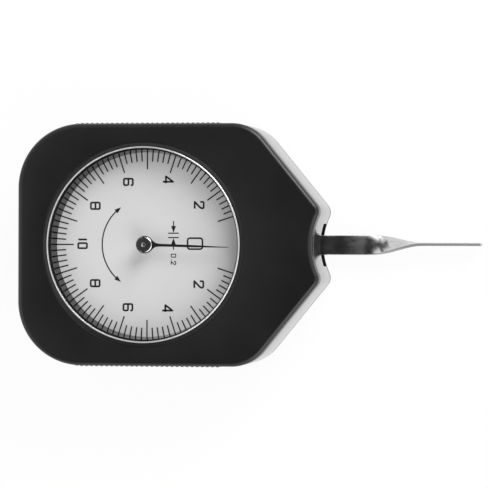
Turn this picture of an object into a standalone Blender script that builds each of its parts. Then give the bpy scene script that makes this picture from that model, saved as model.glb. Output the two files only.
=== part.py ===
"""Dial tension gauge, lying on its rear cover with the dial up.

The origin is on the pointer's axis, on the flat rear face. +X runs towards the feeler, +Z out of
the dial. A lever swings on its arbor near the nose of the case: the feeler is screwed to its outer
arm, and the toothed sector on its inner side drives the pinion on the pointer's arbor.
"""

import bmesh
import bpy
from math import acos, asin, atan2, ceil, cos, hypot, pi, radians, sin, sqrt, tan
from mathutils import Matrix, Vector

mm = 0.001

# Clearances
seat = 0.1 * mm                # between pieces that rest on or in each other
seam = 0.06 * mm               # between the three shells of the case
running = 0.05 * mm            # beside a pivot in its bush
overrun = 1.0 * mm             # how far a cutter passes the wall it cuts

# Bezel, crystal and the opening of the front cover
lip_radius = 25.5 * mm         # inner edge of the bright ring
crest_width = 0.55 * mm
bezel_width = 1.45 * mm
bezel_stand = 0.35 * mm        # ring above the cover's face
bezel_flank = 0.5 * mm         # how far the ring's outer slope falls
lip_thickness = 0.4 * mm
lip_overhang = 0.75 * mm
crystal_thickness = 0.75 * mm
gasket_height = 0.5 * mm
gasket_width = 1.05 * mm
well_taper = 0.6 * mm          # how much narrower the well is at the dial
skirt_wall = 1.35 * mm         # outside the bezel's seat

# Outline of the case
side_rim = 4.95 * mm           # from the opening to the flanks
back_rim = 6.85 * mm           # from the opening to the back edge
back_corner_radius = 17.0 * mm
flank_corner_radius = 11.0 * mm
slant_angle = radians(50.9)
nose_reach = 16.0 * mm         # from the lever's axis to the floor of the notch
notch_radius = 18.0 * mm
nose_land = 3.1 * mm           # from the slot's end to the shoulder's centre
shoulder_radius = 3.0 * mm
slot_half_width = 5.7 * mm
slot_top_clearance = 3.25 * mm

# Shells of the case
rear_cover_thickness = 1.8 * mm
rear_edge_radius = 0.6 * mm
rear_inset = 0.05 * mm
front_cover_height = 4.4 * mm
cover_edge_radius = 1.25 * mm
cover_face_thickness = 1.5 * mm
cover_wall = 1.9 * mm
frame_wall = 2.2 * mm
post_radius = 2.6 * mm
post_gap = 0.2 * mm
rib_pitch = 1.36 * mm
rib_height = 0.36 * mm
rib_foot = 1.0 * mm
rib_crest = 0.5 * mm
rib_front_margin = 3.7 * mm    # plain flank between the ribs and the front corner
rib_wrap = 2.6 * mm            # how far the ribs run on round the back corner

# Screws of the rear cover
cover_screw_radius = 1.0 * mm
cover_screw_head_radius = 1.9 * mm
cover_screw_length = 9.0 * mm
cover_screw_sink = 0.15 * mm
screw_slot_share = 0.25        # driver slot's width and depth, of the head's radius

# Movement plates
bridge_gap = 0.2 * mm
bridge_thickness = 1.0 * mm
bridge_pad = 3.2 * mm
feeler_gap = 0.2 * mm
main_plate_thickness = 1.4 * mm
plate_margin = 5.8 * mm          # between the main plate and the frame's wall
tongue_radius = 8.6 * mm
lug_inset = 2.0 * mm           # movement screws, inside the main plate's edge
lug_half_width = 4.0 * mm
lug_thickness = 2.0 * mm
pillar_radius = 1.5 * mm
pillar_spigot_radius = 0.8 * mm
pillar_side_x = 9.0 * mm
pillar_side_y = 13.5 * mm
pillar_back_x = 10.0 * mm
small_screw_radius = 0.6 * mm
small_screw_head_radius = 1.15 * mm
small_screw_head_height = 0.5 * mm
bridge_screw_length = 3.0 * mm
movement_screw_length = 2.8 * mm
bush_wall = 0.9 * mm

# Lever and feeler
lever_x = 28.8 * mm            # the lever's axis, and the gears' centre distance
lever_swing = radians(9.0)
lever_arbor_radius = 0.9 * mm
lever_pivot_radius = 0.45 * mm
arm_half_width = 2.75 * mm
arm_length = 9.4 * mm
arm_thickness = 1.4 * mm
feeler_width = 5.22 * mm
feeler_thickness = 0.85 * mm
feeler_start = 2.2 * mm        # from the lever's axis
twist_start = 25.8 * mm
twist_length = 17.5 * mm
blade_offset = 0.24 * mm       # blade's middle plane, to the left of the strip's
feeler_reach = 58.8 * mm       # from the lever's axis to the tip
feeler_screw_first = 5.2 * mm
feeler_screw_pitch = 4.4 * mm
stop_pin_radius = 0.5 * mm
stop_pin_reach = 6.2 * mm      # along the arm from the lever's axis

# Gears
pinion_teeth = 10
sector_teeth = 200             # of the full circle
sector_cut_teeth = 15          # teeth that the sector carries
pressure_angle = radians(20)
addendum_share = 0.8
dedendum_share = 1.15
backlash = 0.07 * mm
sector_thickness = 1.2 * mm
sector_hub_radius = 3.0 * mm
sector_rim = 3.4 * mm
sector_spoke = 1.5 * mm
sector_window_start = 7.0 * mm
pinion_height = 1.8 * mm

# Springs
measuring_collet_radius = 1.7 * mm
measuring_collet_height = 2.8 * mm
measuring_spring_radius = 6.2 * mm
measuring_spring_height = 1.6 * mm
measuring_spring_leaf = 0.2 * mm
measuring_spring_turns = 4.75
bare_arbor = 3.85 * mm         # between that collet and the main plate
hair_collet_radius = 1.2 * mm
hair_collet_height = 1.0 * mm
hairspring_radius = 5.6 * mm
hairspring_height = 0.6 * mm
hairspring_leaf = 0.12 * mm
hairspring_turns = 6.5
stud_radius = 0.5 * mm

# Dial and pointer
dial_thickness = 0.5 * mm
dial_inset = 0.5 * mm          # between the dial's edge and the skirt's
dial_hole_radius = 1.1 * mm
dial_depth = 6.1 * mm          # dial to the cover's face
dial_foot_height = 3.4 * mm
dial_foot_radius = 1.0 * mm
dial_pin_radius = 0.6 * mm
dial_foot_reach = 16.0 * mm
pointer_arbor_radius = 0.6 * mm
pointer_pivot_radius = 0.35 * mm
pointer_neck_radius = 0.45 * mm
pointer_lift = 3.25 * mm       # above the dial
pointer_thickness = 0.3 * mm
pointer_disc_radius = 2.25 * mm
pointer_length = 22.5 * mm
pointer_root_half_width = 1.0 * mm
pointer_blade_start = 4.6 * mm
pointer_blade_half_width = 0.32 * mm
pointer_tip_half_width = 0.07 * mm
pointer_rest_angle = radians(-1.67)
boss_radius = 2.05 * mm
boss_slope = 0.15 * mm
boss_height = 0.8 * mm
sleeve_radius = 0.85 * mm
sleeve_length = 1.3 * mm
cap_radius = 1.94 * mm
cap_height = 0.45 * mm
cap_hole_radius = 0.38 * mm
cap_lug_radius = 0.32 * mm

# Facets
large_sides = 72
round_sides = 20
small_sides = 12
corner_steps = 7
edge_steps = 3
twist_steps = 14
spiral_steps = 14

# Heights, from the rear face up
bridge_low = rear_cover_thickness + bridge_gap
bridge_high = bridge_low + bridge_thickness
feeler_low = bridge_high + feeler_gap
feeler_mid = feeler_low + feeler_thickness / 2
feeler_high = feeler_low + feeler_thickness
arm_low = feeler_high + seat
arm_high = arm_low + arm_thickness
sector_low = arm_high + seat
sector_high = sector_low + sector_thickness
measuring_collet_low = sector_high + seat
measuring_collet_high = measuring_collet_low + measuring_collet_height
plate_low = measuring_collet_high + bare_arbor
plate_high = plate_low + main_plate_thickness
dial_low = plate_high + dial_foot_height
dial_high = dial_low + dial_thickness
pointer_low = dial_high + pointer_lift
pointer_high = pointer_low + pointer_thickness
boss_low = pointer_high + seat
boss_high = boss_low + boss_height
face_z = dial_high + dial_depth
frame_high = face_z - front_cover_height
bezel_high = face_z + bezel_stand
crystal_high = bezel_high - lip_thickness - seat
crystal_low = crystal_high - crystal_thickness
gasket_high = crystal_low - seat
gasket_low = gasket_high - gasket_height
ledge_high = gasket_low - seat

# Radii of the opening, and the case around it
bezel_radius = lip_radius + bezel_width
bezel_step_radius = lip_radius + lip_overhang
crystal_radius = bezel_step_radius - seat
opening_radius = bezel_radius + seat
well_radius = crystal_radius - gasket_width
well_foot_radius = well_radius - well_taper
skirt_radius = opening_radius + skirt_wall
dial_radius = skirt_radius - dial_inset
case_half_width = opening_radius + side_rim
case_back = opening_radius + back_rim
notch_x = lever_x + nose_reach
main_plate_radius = case_half_width - frame_wall - plate_margin

# Gear sizes
gear_module = 2 * lever_x / (pinion_teeth + sector_teeth)
pinion_pitch_radius = gear_module * pinion_teeth / 2
sector_pitch_radius = gear_module * sector_teeth / 2
tooth_pitch = 2 * pi / sector_teeth


# Outlines

def arc(centre, radius, start, end, steps):
    """Points on an arc from one angle to another, both ends included."""
    return [(centre[0] + radius * cos(start + (end - start) * i / steps),
             centre[1] + radius * sin(start + (end - start) * i / steps)) for i in range(steps + 1)]


def circle(radius, centre=(0, 0), sides=round_sides):
    return arc(centre, radius, 0, 2 * pi, sides)[:-1]


def bore(radius, sides=round_sides):
    """Radius of a faceted hole whose flats clear a shaft of the given radius."""
    return (radius + running) / cos(pi / sides)


def padded_outline(corners, radius):
    """Outline of a convex polygon of corners, counterclockwise, grown by a radius."""
    points = []
    for before, corner, after in zip(corners[-1:] + corners[:-1], corners, corners[1:] + corners[:1]):
        start = atan2(corner[1] - before[1], corner[0] - before[0]) - pi / 2
        end = atan2(after[1] - corner[1], after[0] - corner[0]) - pi / 2
        turn = (end - start) % (2 * pi)
        points += arc(corner, radius, start, start + turn, corner_steps)
    return points


def two_disc_outline(first_radius, second_radius, distance):
    """A disc on the axis and another at a distance along X, with their common tangents."""
    lean = acos((first_radius - second_radius) / distance)
    return (arc((distance, 0), second_radius, -lean, lean, 2 * corner_steps)
            + arc((0, 0), first_radius, lean, 2 * pi - lean, 4 * corner_steps))


def case_corners():
    """Centres and arcs of the upper half of the case: notch, shoulder, flank corner, back corner."""
    notch = Vector((notch_x + notch_radius, 0))
    shoulder_y = slot_half_width + nose_land
    shoulder = Vector((notch.x - sqrt((notch_radius + shoulder_radius) ** 2 - shoulder_y ** 2), shoulder_y))
    outward = Vector((sin(slant_angle), cos(slant_angle)))
    along = Vector((-cos(slant_angle), sin(slant_angle)))
    flank_y = case_half_width - flank_corner_radius
    start = shoulder + outward * (shoulder_radius - flank_corner_radius)
    flank = start + along * ((flank_y - start.y) / along.y)
    back = Vector((back_corner_radius - case_back, case_half_width - back_corner_radius))
    return notch, shoulder, flank, back


def case_outline(inset, ribs=False):
    """The case's outline, counterclockwise, moved inwards by the inset."""
    notch, shoulder, flank, back = case_corners()
    spread = atan2(shoulder.y, notch.x - shoulder.x)
    upper = arc(shoulder, shoulder_radius - inset, -spread, pi / 2 - slant_angle, corner_steps)
    upper += arc(flank, flank_corner_radius - inset, pi / 2 - slant_angle, pi / 2, corner_steps)
    wrapped = 0
    if ribs:
        upper += rib_points(flank.x - rib_front_margin, back)
        wrapped = asin(rib_wrap / back_corner_radius)
    upper += arc(back, back_corner_radius - inset, pi / 2 + wrapped, pi, 2 * corner_steps)
    lower = [(x, -y) for x, y in reversed(upper)]
    floor = arc(notch, notch_radius + inset, pi + spread, pi - spread, 2 * corner_steps)
    return floor[1:-1] + upper + lower


def rib_points(front, back):
    """Grip ribs along the upper flank, from the front to a little way round the back corner."""
    count = int((front - back.x + rib_wrap - rib_foot) / rib_pitch) + 1
    points = []
    for i in range(count):
        x = front - rib_foot / 2 - i * rib_pitch
        for across, out in ((rib_foot / 2, 0), (rib_crest / 2, rib_height), (-rib_crest / 2, rib_height),
                            (-rib_foot / 2, 0)):
            round_corner = max(0, back.x - x - across)
            base = back.y + sqrt(back_corner_radius ** 2 - round_corner ** 2)
            points.append((x + across, base + out))
    return points


def post_places():
    """Screw posts, tucked into the four rounded corners of the case."""
    notch, shoulder, flank, back = case_corners()
    places = []
    for centre, radius, angle in ((flank, flank_corner_radius, pi / 2 - slant_angle / 2),
                                  (back, back_corner_radius, 3 * pi / 4)):
        reach = radius - frame_wall - post_gap - post_radius
        x, y = centre.x + reach * cos(angle), centre.y + reach * sin(angle)
        places += [(x, y), (x, -y)]
    return places


# Solids

def finish(name, mesh, surface, parent=None, place=(0, 0)):
    """Make an object of a mesh, shade it and give it its material and its place."""
    mesh.shade_smooth()
    mesh.set_sharp_from_angle(angle=radians(30))
    made = bpy.data.objects.new(name, mesh)
    bpy.context.collection.objects.link(made)
    mesh.materials.clear()
    mesh.materials.append(surface)
    made.parent = parent
    made.location = (place[0], place[1], 0)
    return made


def closed_mesh(bm, name):
    bmesh.ops.remove_doubles(bm, verts=bm.verts, dist=1e-8)
    bmesh.ops.recalc_face_normals(bm, faces=bm.faces)
    mesh = bpy.data.meshes.new(name)
    bm.to_mesh(mesh)
    bm.free()
    return mesh


def plate(name, outline, low, high, holes=()):
    """A flat plate between two heights, with holes through it."""
    bm = bmesh.new()
    edges = []
    for loop in (outline, *holes):
        verts = [bm.verts.new((x, y, low)) for x, y in loop]
        edges += [bm.edges.new((a, b)) for a, b in zip(verts, verts[1:] + verts[:1])]
    faces = bmesh.ops.triangle_fill(bm, use_beauty=True, edges=edges)["geom"]
    faces = [face for face in faces if isinstance(face, bmesh.types.BMFace)]
    raised = bmesh.ops.extrude_face_region(bm, geom=faces)["geom"]
    raised = [vert for vert in raised if isinstance(vert, bmesh.types.BMVert)]
    bmesh.ops.translate(bm, verts=raised, vec=(0, 0, high - low))
    return closed_mesh(bm, name)


def turned(name, profile, sides=round_sides):
    """A solid of revolution about Z. The profile is a closed loop of radius and height."""
    bm = bmesh.new()
    verts = [bm.verts.new((r, 0, z)) for r, z in profile]
    edges = [bm.edges.new((a, b)) for a, b in zip(verts, verts[1:] + verts[:1])
             if a.co.x > 0 or b.co.x > 0]
    bmesh.ops.spin(bm, geom=verts + edges, cent=(0, 0, 0), axis=(0, 0, 1), angle=2 * pi,
                   steps=sides, use_merge=True)
    return closed_mesh(bm, name)


def rod(name, radius, low, high, sides=round_sides):
    return turned(name, [(0, low), (radius, low), (radius, high), (0, high)], sides)


def ring(name, inner, outer, low, high, sides=round_sides):
    return turned(name, [(inner, low), (outer, low), (outer, high), (inner, high)], sides)


def loft(name, sections):
    """Join sections of equal point counts with quads, and cap both ends."""
    bm = bmesh.new()
    loops = [[bm.verts.new(point) for point in section] for section in sections]
    for lower, upper in zip(loops, loops[1:]):
        for i in range(len(lower)):
            j = (i + 1) % len(lower)
            bm.faces.new((lower[i], lower[j], upper[j], upper[i]))
    bm.faces.new(list(reversed(loops[0])))
    bm.faces.new(loops[-1])
    return closed_mesh(bm, name)


def shell_body(name, layers):
    """A solid whose outline is the case's, with an inset at each height."""
    return loft(name, [[(x, y, z) for x, y in case_outline(inset)] for inset, z in layers])


def combine(target, tool, operation, place=(0, 0), turn=0):
    """Cut a mesh out of another, or join it on, and return the new mesh."""
    pair = []
    for mesh in (target, tool):
        pair.append(bpy.data.objects.new(mesh.name, mesh))
        bpy.context.collection.objects.link(pair[-1])
    pair[1].matrix_world = Matrix.Translation((place[0], place[1], 0)) @ Matrix.Rotation(turn, 4, "Z")
    boolean = pair[0].modifiers.new(operation, "BOOLEAN")
    boolean.operation = operation
    boolean.object = pair[1]
    bpy.context.view_layer.update()
    result = bpy.data.meshes.new_from_object(pair[0].evaluated_get(bpy.context.evaluated_depsgraph_get()))
    for used in pair:
        bpy.data.objects.remove(used)
    return result


def cut(target, tool, **where):
    return combine(target, tool, "DIFFERENCE", **where)


def join(target, tool, **where):
    return combine(target, tool, "UNION", **where)


def box(name, low, high):
    """A block between two corners."""
    outline = [(low[0], low[1]), (high[0], low[1]), (high[0], high[1]), (low[0], high[1])]
    return plate(name, outline, low[2], high[2])


def surface(name, colour, metallic, roughness):
    made = bpy.data.materials.new(name)
    made.use_nodes = True
    shader = made.node_tree.nodes["Principled BSDF"]
    shader.inputs["Base Color"].default_value = (*colour, 1)
    shader.inputs["Metallic"].default_value = metallic
    shader.inputs["Roughness"].default_value = roughness
    made.diffuse_color = (*colour, 1)
    return made


# Case

def front_cover():
    """Moulded front: rounded face, a well with a ledge down to the dial, four screw posts."""
    layers = [(0, frame_high + seam), (0, face_z - cover_edge_radius)]
    for i in range(1, edge_steps + 1):
        angle = pi / 2 * i / edge_steps
        layers.append((cover_edge_radius * (1 - cos(angle)), face_z - cover_edge_radius * (1 - sin(angle))))
    body = shell_body("front_cover", layers)
    under_face = face_z - cover_face_thickness
    body = cut(body, plate("pocket", case_outline(cover_wall), frame_high - overrun, under_face))
    body = join(body, rod("skirt", skirt_radius, dial_high + seat, under_face + overrun / 2, large_sides))
    for x, y in post_places():
        post = rod("post", post_radius, rear_cover_thickness + seam, under_face + overrun / 2)
        body = join(body, post, place=(x, y))
        pilot = rod("pilot", bore(cover_screw_radius, small_sides), rear_cover_thickness - overrun,
                    rear_cover_thickness + cover_screw_length, small_sides)
        body = cut(body, pilot, place=(x, y))
    opening = turned("opening", [
        (0, dial_high - overrun), (well_foot_radius, dial_high - overrun),
        (well_foot_radius, dial_high + seat), (well_radius, ledge_high), (opening_radius, ledge_high),
        (opening_radius, face_z + overrun), (0, face_z + overrun)], large_sides)
    return cut(body, opening)


def side_frame():
    """Metal wall between the covers, with grip ribs, the feeler's slot and lugs for the movement."""
    low, high = rear_cover_thickness + seam, frame_high - seam
    wall = plate("side_frame", case_outline(0, ribs=True), low, high, [case_outline(frame_wall)])
    slot = box("slot", (notch_x - frame_wall - overrun, -slot_half_width, low - overrun),
               (notch_x + notch_radius, slot_half_width, feeler_high + slot_top_clearance))
    wall = cut(wall, slot)
    for x, y in movement_screw_places():
        reach = hypot(x, y)
        edge = (case_back if y == 0 else case_half_width) - frame_wall / 2
        lug = box("lug", (reach - lug_inset, -lug_half_width, plate_low - seat - lug_thickness),
                  (edge, lug_half_width, plate_low - seat))
        lug = cut(lug, rod("hole", bore(small_screw_radius, small_sides), plate_low - lug_thickness - overrun,
                           plate_low + overrun, small_sides), place=(reach, 0))
        wall = join(wall, lug, turn=atan2(y, x))
    return wall


def rear_cover():
    """Flat rear shell with a rounded edge and four countersunk holes."""
    layers = []
    for i in range(edge_steps + 1):
        angle = pi / 2 * i / edge_steps
        layers.append((rear_inset + rear_edge_radius * (1 - sin(angle)), rear_edge_radius * (1 - cos(angle))))
    layers.append((rear_inset, rear_cover_thickness - seam))
    body = shell_body("rear_cover", layers)
    head, shank = cover_screw_head_radius + seat, cover_screw_radius + seat
    sink = turned("countersink", [
        (0, -overrun), (head, -overrun), (head, cover_screw_sink), (shank, cover_screw_sink + head - shank),
        (shank, rear_cover_thickness + overrun), (0, rear_cover_thickness + overrun)])
    for place in post_places():
        body = cut(body, sink, place=place)
    return body


def cover_screw():
    """Countersunk screw with a driver slot, pointing up from the rear face."""
    slope = cover_screw_head_radius - cover_screw_radius
    body = turned("cover_screw", [
        (0, cover_screw_sink), (cover_screw_head_radius, cover_screw_sink),
        (cover_screw_radius, cover_screw_sink + slope),
        (cover_screw_radius, cover_screw_length - cover_screw_radius), (0, cover_screw_length)])
    width = cover_screw_head_radius * screw_slot_share
    slot = box("driver_slot", (-2 * cover_screw_head_radius, -width / 2, -overrun),
               (2 * cover_screw_head_radius, width / 2, cover_screw_sink + width))
    return cut(body, slot)


def bezel_ring():
    """Plated ring: bright crest, outer slope, and a lip that holds the crystal down."""
    crest = lip_radius + crest_width
    return turned("bezel_ring", [
        (lip_radius, bezel_high - lip_thickness), (bezel_step_radius, bezel_high - lip_thickness),
        (bezel_step_radius, ledge_high + seat), (bezel_radius, ledge_high + seat),
        (bezel_radius, bezel_high - bezel_flank), (crest, bezel_high),
        (lip_radius, bezel_high)], large_sides)


# Movement

def movement_screw_places():
    """Movement screws above and below the dial's centre, and behind it."""
    reach = main_plate_radius - lug_inset
    return [(0, reach), (0, -reach), (-reach, 0)]


def pillar_places():
    return [(pillar_side_x, pillar_side_y), (pillar_side_x, -pillar_side_y), (-pillar_back_x, 0)]


def dial_foot_places():
    turns = (0, 2 * pi / 3, 4 * pi / 3)
    return [(dial_foot_reach * cos(turn), dial_foot_reach * sin(turn)) for turn in turns]


def stop_pin_places():
    """Either side of the lever's arm, where its edges arrive at the ends of the swing."""
    side = (arm_half_width + stop_pin_radius + seat + stop_pin_reach * sin(lever_swing)) / cos(lever_swing)
    return [(lever_x + stop_pin_reach, side), (lever_x + stop_pin_reach, -side)]


def stud_place(radius, end_angle):
    """Centre of a spring's stud, just past the spring's outer end."""
    angle = end_angle + (stud_radius + seat) / radius
    return radius * cos(angle), radius * sin(angle)


def bush_radius(pivot_radius):
    return pivot_radius + bush_wall


def main_plate():
    """Front plate of the movement, drilled for its bushes, pillars, pins, studs and screws."""
    measuring = stud_place(measuring_spring_radius, pi / 2)
    holes = [circle(bush_radius(pointer_neck_radius) + seat),
             circle(bush_radius(lever_pivot_radius) + seat, (lever_x, 0)),
             circle(stud_radius + seat, (lever_x + measuring[0], measuring[1]), small_sides)]
    holes += [circle(small_screw_radius + seat, place, small_sides) for place in movement_screw_places()]
    holes += [circle(pillar_spigot_radius + seat, place, small_sides) for place in pillar_places()]
    holes += [circle(dial_pin_radius + seat, place, small_sides) for place in dial_foot_places()]
    holes += [circle(stop_pin_radius + seat, place, small_sides) for place in stop_pin_places()]
    outline = two_disc_outline(main_plate_radius, tongue_radius, lever_x)
    return plate("main_plate", outline, plate_low, plate_high, holes)


def rear_bridge():
    """Rear plate of the movement, a kite that spans both arbors and the three pillars."""
    corners = [(lever_x, 0), (pillar_side_x, pillar_side_y), (-pillar_back_x, 0),
               (pillar_side_x, -pillar_side_y)]
    holes = [circle(bush_radius(pointer_pivot_radius) + seat),
             circle(bush_radius(lever_pivot_radius) + seat, (lever_x, 0))]
    body = plate("rear_bridge", padded_outline(corners, bridge_pad), bridge_low, bridge_high, holes)
    head, shank = small_screw_head_radius + seat, small_screw_radius + seat
    floor = bridge_low + small_screw_head_height + seat
    counterbore = turned("counterbore", [
        (0, bridge_low - overrun), (head, bridge_low - overrun), (head, floor), (shank, floor),
        (shank, bridge_high + overrun), (0, bridge_high + overrun)], small_sides)
    for place in pillar_places():
        body = cut(body, counterbore, place=place)
    return body


def bridge_pillar():
    """Turned pillar: a tapped foot on the bridge and a spigot in the main plate."""
    tapped = bore(small_screw_radius, small_sides)
    depth = bridge_high + bridge_screw_length
    low, shoulder, high = bridge_high + seat, plate_low - seat, plate_high - seat
    return turned("bridge_pillar", [
        (0, depth), (tapped, depth), (tapped, low), (pillar_radius, low), (pillar_radius, shoulder),
        (pillar_spigot_radius, shoulder), (pillar_spigot_radius, high), (0, high)], small_sides)


def small_screw(name, head_top, direction, length):
    """Cheese-head screw. The head's outer face is at head_top, and the shank runs in the direction."""
    under = head_top + direction * small_screw_head_height
    body = turned(name, [
        (0, head_top), (small_screw_head_radius, head_top), (small_screw_head_radius, under),
        (small_screw_radius, under), (small_screw_radius, under + direction * length),
        (0, under + direction * length)], small_sides)
    width = small_screw_head_radius * screw_slot_share
    ends = sorted((head_top - direction * overrun, head_top + direction * width))
    slot = box("driver_slot", (-2 * small_screw_head_radius, -width / 2, ends[0]),
               (2 * small_screw_head_radius, width / 2, ends[1]))
    return cut(body, slot)


def stepped_arbor(name, body_radius, rear_radius, front_radius, rear_end, front_end):
    """Arbor with a shoulder inside each plate and a pivot through each bush."""
    low, high = bridge_high + seat, plate_low - seat
    return turned(name, [
        (0, rear_end), (rear_radius, rear_end), (rear_radius, low), (body_radius, low), (body_radius, high),
        (front_radius, high), (front_radius, front_end), (0, front_end)])


def lever_arm():
    """Arm under the sector that carries the feeler, round at both ends."""
    outline = two_disc_outline(arm_half_width, arm_half_width, arm_length)
    tapped = bore(small_screw_radius, small_sides)
    holes = [circle(bore(lever_arbor_radius))]
    holes += [circle(tapped, place, small_sides) for place in feeler_screw_places()]
    return plate("lever_arm", outline, arm_low, arm_high, holes)


def feeler_screw_places():
    return [(feeler_screw_first, 0), (feeler_screw_first + feeler_screw_pitch, 0)]


def feeler():
    """Steel strip, flat at the lever, twisted a quarter turn and edge-on at the tip."""
    stations = [(feeler_start, 0)]
    for i in range(twist_steps + 1):
        share = i / twist_steps
        stations.append((twist_start + twist_length * share, share * share * (3 - 2 * share)))
    stations.append((feeler_reach, 1))
    half_width, half_thickness = feeler_width / 2, feeler_thickness / 2
    corners = [(-half_width, -half_thickness), (half_width, -half_thickness),
               (half_width, half_thickness), (-half_width, half_thickness)]
    sections = []
    for x, eased in stations:
        turn = eased * pi / 2
        sections.append([(x, across * cos(turn) + up * sin(turn) + blade_offset * eased,
                          feeler_mid + up * cos(turn) - across * sin(turn)) for across, up in corners])
    body = loft("feeler", sections)
    for place in feeler_screw_places():
        body = cut(body, rod("hole", bore(small_screw_radius, small_sides), feeler_low - overrun,
                             feeler_high + overrun, small_sides), place=place)
    return body


def involute(angle):
    return tan(angle) - angle


def pinion_outline():
    """Involute teeth, with a gap that faces the sector."""
    base = pinion_pitch_radius * cos(pressure_angle)
    root = pinion_pitch_radius - dedendum_share * gear_module
    tip = pinion_pitch_radius + addendum_share * gear_module
    pitch = 2 * pi / pinion_teeth
    half_at_pitch = pitch / 4 - backlash / 2 / pinion_pitch_radius
    flank = []
    for radius in (root, base, pinion_pitch_radius, tip):
        pressure = acos(min(1, base / radius))
        flank.append((radius, half_at_pitch + involute(pressure_angle) - involute(pressure)))
    points = []
    for tooth in range(pinion_teeth):
        middle = (tooth + 1 / 2) * pitch
        points += [(r * cos(middle - half), r * sin(middle - half)) for r, half in flank]
        points += [(r * cos(middle + half), r * sin(middle + half)) for r, half in reversed(flank)]
    return points


def sector_outline():
    """A fan from the hub to the toothed arc on the pinion's side, about the lever's axis."""
    root = sector_pitch_radius - dedendum_share * gear_module
    tip = sector_pitch_radius + addendum_share * gear_module
    half_at_pitch = (pi * gear_module / 2 - backlash) / 2
    points = []
    for tooth in range(sector_cut_teeth):
        middle = pi + (tooth - (sector_cut_teeth - 1) / 2) * tooth_pitch
        for radius, side in ((root, -1), (tip, -1), (tip, 1), (root, 1)):
            half = (half_at_pitch - (radius - sector_pitch_radius) * tan(pressure_angle)) / radius
            points.append((radius * cos(middle + side * half), radius * sin(middle + side * half)))
    hub = 5 * pi / 12
    return points + arc((0, 0), sector_hub_radius, pi + hub, 3 * pi - hub, 2 * corner_steps)


def sector_gear():
    """Brass sector with one window between its spokes."""
    rim = sector_pitch_radius - sector_rim
    fan = sector_cut_teeth * tooth_pitch / 2
    outer = fan - sector_spoke / rim
    inner = fan - sector_spoke / sector_window_start + asin(sector_hub_radius / sector_window_start) / 2
    window = arc((0, 0), rim, pi - outer, pi + outer, corner_steps)
    window += arc((0, 0), sector_window_start, pi + inner, pi - inner, corner_steps)
    holes = [circle(bore(lever_arbor_radius)), window]
    return plate("sector_gear", sector_outline(), sector_low, sector_high, holes)


def spiral(name, start_radius, end_radius, turns, leaf, low, high, end_angle):
    """Flat spiral spring, wound outwards to the angle of its stud."""
    steps = ceil(turns * spiral_steps)
    sections = []
    for i in range(steps + 1):
        share = i / steps
        angle = end_angle - 2 * pi * turns * (1 - share)
        radius = start_radius + (end_radius - start_radius) * share
        sections.append([((radius + side * leaf / 2) * cos(angle), (radius + side * leaf / 2) * sin(angle), z)
                         for side, z in ((-1, low), (1, low), (1, high), (-1, high))])
    return loft(name, sections)


def dial_plate():
    """Dial with three feet that stand on the main plate and are pinned in it."""
    body = turned("dial_plate", [
        (dial_hole_radius, dial_low), (dial_radius, dial_low), (dial_radius, dial_high),
        (dial_hole_radius, dial_high)], large_sides)
    foot = turned("foot", [
        (0, plate_low + seat), (dial_pin_radius, plate_low + seat), (dial_pin_radius, plate_high + seat),
        (dial_foot_radius, plate_high + seat), (dial_foot_radius, dial_low + dial_thickness / 2),
        (0, dial_low + dial_thickness / 2)], small_sides)
    for place in dial_foot_places():
        body = join(body, foot, place=place)
    return body


def pointer():
    """Disc with a blade that flares from it and tapers to the tip."""
    meet = asin(pointer_root_half_width / pointer_disc_radius)
    blade = [(pointer_disc_radius * cos(meet), pointer_root_half_width),
             (pointer_blade_start, pointer_blade_half_width), (pointer_length, pointer_tip_half_width)]
    outline = [(x, -y) for x, y in blade] + list(reversed(blade))
    outline += arc((0, 0), pointer_disc_radius, meet, 2 * pi - meet, 4 * corner_steps)[1:-1]
    turn = Matrix.Rotation(pointer_rest_angle, 2)
    outline = [tuple(turn @ Vector(point)) for point in outline]
    return plate("pointer", outline, pointer_low, pointer_high, [circle(sleeve_radius + seat)])


def pointer_boss():
    """Turned boss: a sleeve through the pointer and a bright flange on top of it."""
    neck = bore(pointer_neck_radius)
    sleeve_low = boss_low - sleeve_length
    return turned("pointer_boss", [
        (neck, sleeve_low), (sleeve_radius, sleeve_low), (sleeve_radius, boss_low), (boss_radius, boss_low),
        (boss_radius, boss_low + boss_height / 2), (boss_radius - boss_slope, boss_high),
        (neck, boss_high)], 2 * round_sides)


def pointer_cap():
    """Dark cap with a hole in its centre and a small lug at either side."""
    low = boss_high + seat
    body = ring("pointer_cap", cap_hole_radius, cap_radius, low, low + cap_height, 2 * round_sides)
    lug = rod("lug", cap_lug_radius, low, low + cap_height, small_sides)
    for side in (1, -1):
        body = join(body, lug, place=(0, side * cap_radius))
    return body


# Assembly

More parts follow.
